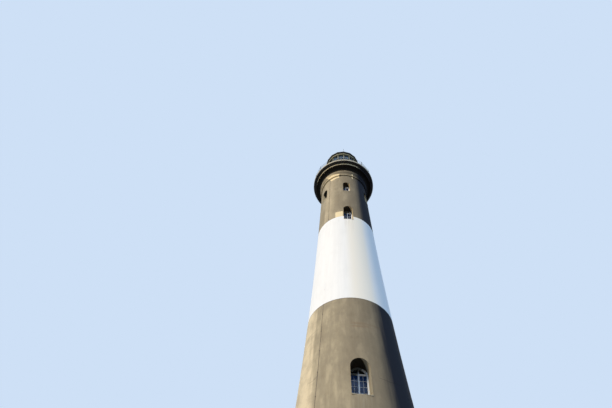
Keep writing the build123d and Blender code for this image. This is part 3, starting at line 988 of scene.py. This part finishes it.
def door_fittings(place, foot, spring, half, face, metal):
    """Strap hinges with their pins and bolts, and a ring handle on its plate."""
    bm = bmesh.new()
    strap_end = half * 0.55
    for height in (foot + 0.18, spring - 0.06):
        centre = ((strap_end - half) / 2 + 0.01, height, face + STRAP_DEPTH / 2)
        box(bm, place, centre, (half + strap_end - 0.03, STRAP_HEIGHT, STRAP_DEPTH), 0.002)
        hinge_pin(bm, place, (0.008 - half, height, face + 0.008), 0.011)
        for x in spread(0.05 - half, strap_end - 0.03, 6):
            bolt(bm, place, (x, height, face + STRAP_DEPTH), 0.014, 0.004)
    across, middle = half * 0.78, (foot + spring) / 2
    box(bm, place, (across, middle, face + 0.002), (0.04, 0.11, 0.005), 0.001)
    grip = place @ Matrix.Translation((across, middle - 0.01, face + 0.012))
    ring(bm, grip, 0.032, 0.005, steps=28, sides=8)
    finish_piece(bm, "door_fittings", metal)


class LIGHTHOUSE_OT_hang_door(Operator):
    """Build the plank door with its strap hinges and ring handle"""

    bl_idname = "lighthouse.hang_door"
    bl_label = "Hang the Door"

    def execute(self, context):
        joinery = context.scene.lighthouse_joinery
        iron = context.scene.lighthouse_iron
        low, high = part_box("door_leaf")
        half, thickness = (high.x - low.x) / 2, high.y - low.y
        spring = high.z - half
        place = facing(0, -(low.y + high.y) / 2)
        plank = 2 * half / joinery.planks
        bm = bmesh.new()
        for index in range(joinery.planks):
            centre = ((index + 0.5) * plank - half, (low.z + high.z) / 2, 0)
            long_box(bm, centre, (plank - PLANK_GAP, high.z - low.z, thickness), axis=0, cuts=4)
        for vert in bm.verts:
            if vert.co.y > spring:
                vert.co.y = spring + sqrt(max(half**2 - vert.co.x**2, 0))
        bmesh.ops.transform(bm, matrix=place, verts=bm.verts[:])
        door = painted_timber("Door_paint", joinery.door, 0.6).done()
        piece = finish_piece(bm, "door_planks", door, ("door_leaf",), smooth=None)
        bevel = piece.modifiers.new("Worn edges", "BEVEL")
        bevel.width = 0.004
        bevel.segments = 2
        bevel.limit_method = "ANGLE"
        bevel.angle_limit = radians(40)
        metal = painted_iron("Door_iron", iron.gallery, iron.rust, 0.5)
        door_fittings(place, low.z, spring, half, thickness / 2, metal)
        dress(painted_timber("Door_frame_paint", joinery.timber, 0.75).done(), "door_frame")
        return {"FINISHED"}


class LIGHTHOUSE_OT_run_conductor(Operator):
    """Run the copper conductor down the wall, with its clips"""

    bl_idname = "lighthouse.run_conductor"
    bl_label = "Run the Conductor"

    def execute(self, context):
        iron = context.scene.lighthouse_iron
        turn = degrees(iron.strip_turn)
        width, depth = iron.strip_width, iron.strip_depth
        foot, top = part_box("base_course")[1].z, CORNICE_FOOT
        bm = bmesh.new()
        long_box(bm, (0, (foot + top) / 2, 0), (width, top - foot, depth), axis=1, cuts=140)
        for vert in bm.verts:
            vert.co.z += shaft_radius(vert.co.y) + depth * 0.4
        bmesh.ops.transform(bm, matrix=facing(turn, 0), verts=bm.verts[:])
        clips = int((top - foot) / iron.clip_pitch)
        for index in range(clips):
            height = foot + (index + 0.5) * (top - foot) / clips
            slope = (shaft_radius(height + 0.1) - shaft_radius(height - 0.1)) / 0.2
            seat = facing(turn, shaft_radius(height)) @ Matrix.Translation((0, height, 0))
            seat = seat @ Matrix.Rotation(atan2(slope, 1), 4, "X")
            box(bm, seat, (0, 0, depth * 0.5), (width * 2.1, 0.030, depth * 2.2), 0.002)
            for side in (-1, 1):
                bolt(bm, seat, (side * width * 0.8, 0, depth * 1.6), 0.010, 0.003)
        copper = strip_copper(iron, context.scene.lighthouse_paint)
        finish_piece(bm, "conductor_strip", copper)
        dress(painted_iron("Weathered_copper", iron.copper, iron.verdigris, 0.6, 0.6), "lightning_rod")
        return {"FINISHED"}


class LIGHTHOUSE_OT_fit_gallery(Operator):
    """Finish the gallery's deck and floor plates, and bolt the railing down"""

    bl_idname = "lighthouse.fit_gallery"
    bl_label = "Fit the Gallery"

    def execute(self, context):
        iron = context.scene.lighthouse_iron
        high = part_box("gallery_deck")[1]
        black = painted_iron("Gallery_iron", iron.gallery, iron.rust, 0.35)
        dress(black, "gallery_railing", "lantern_walkway", "walkway_brackets")
        dress(deck_plates(iron, high.x), "gallery_deck", "watch_room_floor")
        bm = bmesh.new()
        for place in all_round(high.x - RAILING_INSET):
            foot = place @ Vector((0, high.z, 0))
            rod(bm, foot, foot + FLANGE_THICKNESS, FLANGE_RADIUS, sides=16)
            for x, z in ((-1, 0), (1, 0), (0, 1), (0, -1)):
                at = foot + place.to_3x3() @ Vector((x, 0, z)) * FLANGE_BOLTS + FLANGE_THICKNESS
                rod(bm, at, at + Vector((0, 0, 0.005)), 0.005, sides=6)
        finish_piece(bm, "railing_flanges", black)
        return {"FINISHED"}


def post_covers(cast, corner):
    """Cover strips outside the lantern's posts."""
    low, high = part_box("lantern_posts")
    bm = bmesh.new()
    for place in all_round(corner, shift=0):
        centre = (0, (low.z + high.z) / 2, 0.004)
        box(bm, place, centre, (0.044, high.z - low.z, 0.008), 0.002)
        for height in spread(low.z + 0.06, high.z - 0.06, 10):
            bolt(bm, place, (0, height, 0.008), 0.010, 0.004)
    finish_piece(bm, "post_cover_strips", cast)


def lantern_door_hinges(cast, flat, half_side, foot, top):
    """Hinges and a lever on the lantern's door, which is the panel behind."""
    place = facing(180 + LANTERN_TURN / 2, flat)
    middle = (foot + top) / 2
    bm = bmesh.new()
    for height in (foot + 0.2, top - 0.2):
        box(bm, place, (-half_side * 0.55, height, 0.004), (half_side * 0.7, 0.03, 0.008), 0.002)
        hinge_pin(bm, place, (0.008 - half_side, height, 0.008), 0.009)
    box(bm, place, (half_side * 0.7, middle, 0.006), (0.022, 0.08, 0.012), 0.002)
    box(bm, place, (half_side * 0.5, middle, 0.018), (0.09, 0.012, 0.012), 0.003)
    finish_piece(bm, "lantern_door_hinges", cast)


class LIGHTHOUSE_OT_fit_lantern(Operator):
    """Finish the lantern's iron and glass, and bolt its panels together"""

    bl_idname = "lighthouse.fit_lantern"
    bl_label = "Fit the Lantern"

    def execute(self, context):
        iron = context.scene.lighthouse_iron
        tint = context.scene.lighthouse_glass.lantern
        cast = painted_iron("Lantern_iron", iron.lantern, iron.rust, 0.5)
        for part in ("parapet", "door", "sill", "posts", "astragals", "head"):
            dress(cast, f"lantern_{part}")
        glass = smeared_glass("Lantern_glass", tint, shaded(tint, 0.8, 0.02), 0.9)
        dress(glass.done(), "lantern_glass")
        foot, top = (corner.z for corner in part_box("lantern_parapet"))
        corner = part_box("lantern_posts")[1].y
        flat = corner * cos(radians(LANTERN_TURN / 2))
        half_side = corner * sin(radians(LANTERN_TURN / 2))
        bm = bmesh.new()
        edge, inner = half_side - PANEL_BOLT_INSET, half_side * 0.45
        spots = [(x, height) for x in (-edge, edge) for height in spread(foot + 0.05, top - 0.05, 8)]
        for height in (foot + PANEL_BOLT_INSET, top - PANEL_BOLT_INSET):
            spots += [(x, height) for x in (-inner, 0, inner)]
        for place in all_round(flat):
            for x, height in spots:
                bolt(bm, place, (x, height, 0), 0.013, 0.005)
        finish_piece(bm, "parapet_bolts", cast, smooth=50)
        post_covers(cast, corner)
        lantern_door_hinges(cast, flat, half_side, foot, top)
        return {"FINISHED"}


class LIGHTHOUSE_OT_fit_roof(Operator):
    """Finish the roof's plates and set its ribs and the ventilator's collars"""

    bl_idname = "lighthouse.fit_roof"
    bl_label = "Fit the Roof"

    def execute(self, context):
        iron = context.scene.lighthouse_iron
        plates = painted_iron("Roof_iron", iron.roof, iron.rust, 0.45)
        dress(plates, "lantern_roof", "lantern_gutter", "ventilator")
        foot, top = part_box("lantern_roof")
        leans = [radians(lean) for lean in spread(0, 90, ROOF_COURSES + 1)]
        bm = bmesh.new()
        for place in all_round(0, shift=0):
            ridge = []
            for lean in leans:
                reach = ROOF_CROWN_RADIUS + (top.y - ROOF_CROWN_RADIUS) * cos(lean)
                ridge.append(place @ Vector((0, foot.z + (top.z - foot.z) * sin(lean), reach)))
            for start, end in zip(ridge, ridge[1:]):
                rod(bm, start, end, iron.rib / 2)
        finish_piece(bm, "roof_ribs", plates, smooth=50)
        low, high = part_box("ventilator")
        ball = (high.x - low.x) / 2
        bm = bmesh.new()
        for radius, section, height in (
            (VENTILATOR_NECK + 0.006, 0.018, low.z + 0.014),
            (VENTILATOR_NECK + 0.004, 0.012, low.z + 0.150),
            (ball + 0.001, 0.010, high.z - ball),
        ):
            ring(bm, Matrix.Translation((0, 0, height)), radius, section, steps=64, sides=10)
        finish_piece(bm, "ventilator_collars", plates, smooth=50)
        return {"FINISHED"}


def set_camera(context, stage):
    data = bpy.data.cameras.new("Eye")
    data.lens = stage.lens
    data.sensor_width = 36
    data.clip_end = 600
    camera = add("Eye", data)
    tower_turn = Matrix.Rotation(-stage.turn, 4, "Z")
    stand = tower_turn @ Matrix.Translation((0, -stage.reach, stage.eye))
    look = Matrix.Rotation(-stage.yaw, 4, "Z") @ Matrix.Rotation(pi / 2 + stage.pitch, 4, "X")
    camera.matrix_world = stand @ look @ Matrix.Rotation(-stage.roll, 4, "Z")
    context.scene.camera = camera


def set_lights(stage):
    for name, turn, rise, strength, softness in (
        ("Key", stage.key_turn, stage.key_rise, stage.key, stage.softness),
        ("Back", radians(165), radians(35), stage.back, radians(40)),
    ):
        data = bpy.data.lights.new(name, "SUN")
        data.energy = strength
        data.angle = softness
        data.color = stage.key_tint
        towards = Vector((sin(turn) * cos(rise), -cos(turn) * cos(rise), sin(rise)))
        add(name, data).rotation_euler = towards.to_track_quat("Z", "Y").to_euler()


def set_backdrop(context, stage):
    """A plain pale background for the eye, and a fill that is dark below the horizon."""
    world = bpy.data.worlds.new("Backdrop")
    context.scene.world = world
    sky = Tree(world)
    sky.nodes.clear()
    place = sky.pattern("TexCoord", output="Generated")
    ramp = sky.node("ValToRGB", {0: sky.pattern("SeparateXYZ", {0: place}, "Z")})
    low, high = ramp.color_ramp.elements
    low.position, low.color = 0.0, (0.10, 0.11, 0.12, 1)
    high.position, high.color = 0.12, (0.66, 0.95, 1.37, 1)
    inputs = {"Color": Pattern(sky, ramp.outputs[0]), "Strength": stage.fill}
    fill = sky.pattern("Background", inputs)
    seen = sky.pattern("Background", {"Color": stage.backdrop})
    kinds = ("Camera", "Glossy", "Transmission")
    plain = any_of(*(sky.pattern("LightPath", output=f"Is {kind} Ray") for kind in kinds))
    sky.node("OutputWorld", {"Surface": sky.pattern("MixShader", {0: plain, 1: fill, 2: seen})})


def lay_floor(stage):
    """A plain floor that is darker to everything but the eye, so that it lights the tower less."""
    finish = Finish("Floor", (0.10, 0.10, 0.10), 0.9)
    finish.coat(stage.ground, finish.pattern("LightPath", output="Is Camera Ray"))
    bm = bmesh.new()
    bmesh.ops.create_circle(bm, cap_ends=True, segments=96, radius=140)
    floor = add("stage_floor", mesh_from(bm, "stage_floor", finish.done()))


class LIGHTHOUSE_OT_set_stage(Operator):
    """Set the floor, the backdrop, the lights and the camera"""

    bl_idname = "lighthouse.set_stage"
    bl_label = "Set the Stage"

    def execute(self, context):
        stage = context.scene.lighthouse_stage
        set_camera(context, stage)
        set_lights(stage)
        set_backdrop(context, stage)
        lay_floor(stage)
        context.scene.view_settings.view_transform = "Standard"
        return {"FINISHED"}


OPERATORS = (
    LIGHTHOUSE_OT_paint_walls,
    LIGHTHOUSE_OT_lay_stone,
    LIGHTHOUSE_OT_fit_windows,
    LIGHTHOUSE_OT_hang_door,
    LIGHTHOUSE_OT_run_conductor,
    LIGHTHOUSE_OT_fit_gallery,
    LIGHTHOUSE_OT_fit_lantern,
    LIGHTHOUSE_OT_fit_roof,
    LIGHTHOUSE_OT_set_stage,
)


class LIGHTHOUSE_PT_tools(Panel):
    """Sizes, colours and steps of the lighthouse"""

    bl_idname = "LIGHTHOUSE_PT_tools"
    bl_label = "Banded Lighthouse"
    bl_space_type = "VIEW_3D"
    bl_region_type = "UI"
    bl_category = "Lighthouse"

    def draw(self, context):
        for group_name, group in GROUPS.items():
            column = self.layout.column(align=True)
            column.label(text=group_name.replace("_", " ").title())
            for setting in group.__annotations__:
                column.prop(getattr(context.scene, group_name), setting)
        for operator in OPERATORS:
            self.layout.operator(operator.bl_idname)


CLASSES = (*GROUPS.values(), *OPERATORS, LIGHTHOUSE_PT_tools)


def register():
    for each in CLASSES:
        bpy.utils.register_class(each)
    for name, group in GROUPS.items():
        setattr(bpy.types.Scene, name, PointerProperty(type=group))


def unregister():
    for name in GROUPS:
        delattr(bpy.types.Scene, name)
    for each in reversed(CLASSES):
        bpy.utils.unregister_class(each)


def main():
    register()
    for operator in OPERATORS:
        module, name = operator.bl_idname.split(".")
        getattr(getattr(bpy.ops, module), name)()


if __name__ == "__main__":
    main()
